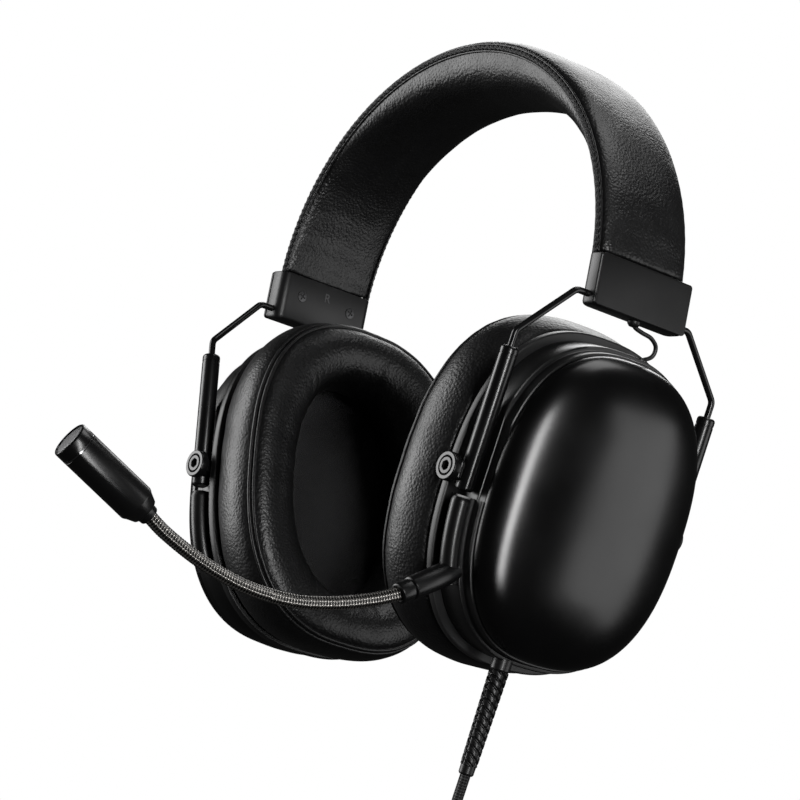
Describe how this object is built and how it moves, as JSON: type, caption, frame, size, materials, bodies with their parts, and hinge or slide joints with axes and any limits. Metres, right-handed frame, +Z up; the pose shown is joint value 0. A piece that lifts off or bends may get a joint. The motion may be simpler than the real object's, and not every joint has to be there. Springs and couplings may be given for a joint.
{
  "type": "gaming headset",
  "caption": "Wired over-ear gaming headset with padded band, wire yokes, sliding oval cups, bendable boom microphone and a coiled lead.",
  "frame": {"origin": "underside of the headband pad at the crown, where the band rests on the head", "axes": "+Z up from the head, +X towards the wearer's left ear, -Y the way the wearer faces"},
  "size_m": [0.189, 0.2236, 0.3745],
  "materials": {
    "soft_leather": "soft synthetic leather with fine grain",
    "satin_plastic": "satin moulded plastic",
    "dome_lacquer": "soft satin lacquer",
    "trim_plastic": "fine satin, a little lighter",
    "inner_plastic": "plain moulded",
    "black_steel": "black coated steel",
    "zinc_steel": "zinc plated",
    "spring_steel": "tempered strip",
    "magnet_steel": "plated",
    "diaphragm_film": "thin film",
    "ear_mesh": "woven acoustic mesh",
    "lead_rubber": "matt rubber",
    "lead_braid": "braided sleeve",
    "neck_braid": "braided metal sleeve over a bendable core",
    "mic_lacquer": "satin black",
    "grille_steel": "fine mesh",
    "board_green": "solder mask",
    "jack_gold": "gold plated"
  },
  "bodies": {
    "headband": {"spring_band": "spring_steel", "crown_cover": "soft_leather", "crown_pad": "soft_leather", "left_block_shell": "satin_plastic", "left_block_cover": "satin_plastic", "left_block_screws": "black_steel", "left_yoke_wire": "black_steel", "left_jumper_lead": "lead_rubber", "right_block_shell": "satin_plastic", "right_block_cover": "satin_plastic", "right_block_screws": "black_steel", "right_yoke_wire": "black_steel", "right_jumper_lead": "lead_rubber"},
    "left_sleeves": {"left_front_sleeve": "satin_plastic", "left_rear_sleeve": "satin_plastic"},
    "left_cup": {"left_pivot_screws": "black_steel", "left_cup_housing": "satin_plastic", "left_cup_dome": "dome_lacquer", "left_trim_ring": "trim_plastic", "left_baffle": "inner_plastic", "left_driver_frame": "inner_plastic", "left_diaphragm": "diaphragm_film", "left_magnet": "magnet_steel", "left_cup_screws": "zinc_steel", "left_ear_screen": "ear_mesh", "left_ear_cushion": "soft_leather", "terminal_board": "board_green", "mic_boot": "satin_plastic", "strain_relief": "lead_rubber", "cord_lead": "lead_braid", "cord_coil": "lead_braid", "coil_tie": "lead_rubber", "cord_tail": "lead_braid", "plug_body": "satin_plastic", "plug_jack": "jack_gold"},
    "right_sleeves": {"right_front_sleeve": "satin_plastic", "right_rear_sleeve": "satin_plastic"},
    "right_cup": {"right_pivot_screws": "black_steel", "right_cup_housing": "satin_plastic", "right_cup_dome": "dome_lacquer", "right_trim_ring": "trim_plastic", "right_baffle": "inner_plastic", "right_driver_frame": "inner_plastic", "right_diaphragm": "diaphragm_film", "right_magnet": "magnet_steel", "right_cup_screws": "zinc_steel", "right_ear_screen": "ear_mesh", "right_ear_cushion": "soft_leather"},
    "boom": {"gooseneck_root": "neck_braid"},
    "microphone": {"gooseneck_tip": "neck_braid", "mic_body": "mic_lacquer", "mic_grille": "grille_steel", "mic_element": "zinc_steel"}
  },
  "joints": [
    {"name": "left_slide", "type": "slide", "parent": "headband", "child": "left_sleeves", "axis": [-0.1908, 0, -0.9816], "range_m": [-0.003, 0.028], "deforming": ["left_jumper_lead"]},
    {"name": "left_tilt", "type": "hinge", "parent": "left_sleeves", "child": "left_cup", "pos_m": [0.0655, 0, -0.13694], "axis": [0, 1, 0], "range_deg": [-8, 8]},
    {"name": "right_slide", "type": "slide", "parent": "headband", "child": "right_sleeves", "axis": [0.1908, 0, -0.9816], "range_m": [-0.003, 0.028], "deforming": ["right_jumper_lead"]},
    {"name": "right_tilt", "type": "hinge", "parent": "right_sleeves", "child": "right_cup", "pos_m": [-0.0655, 0, -0.13694], "axis": [0, 1, 0], "range_deg": [-8, 8]},
    {"name": "boom_lift", "type": "hinge", "parent": "left_cup", "child": "boom", "pos_m": [0.06354, -0.0576, -0.17955], "axis": [1, 0, 0], "range_deg": [-25, 15], "deforming": ["gooseneck_root"]},
    {"name": "boom_bend", "type": "hinge", "parent": "boom", "child": "microphone", "pos_m": [0.05406, -0.0985, -0.18953], "axis": [1, 0, 0], "range_deg": [-25, 20], "deforming": ["gooseneck_tip"]}
  ]
}
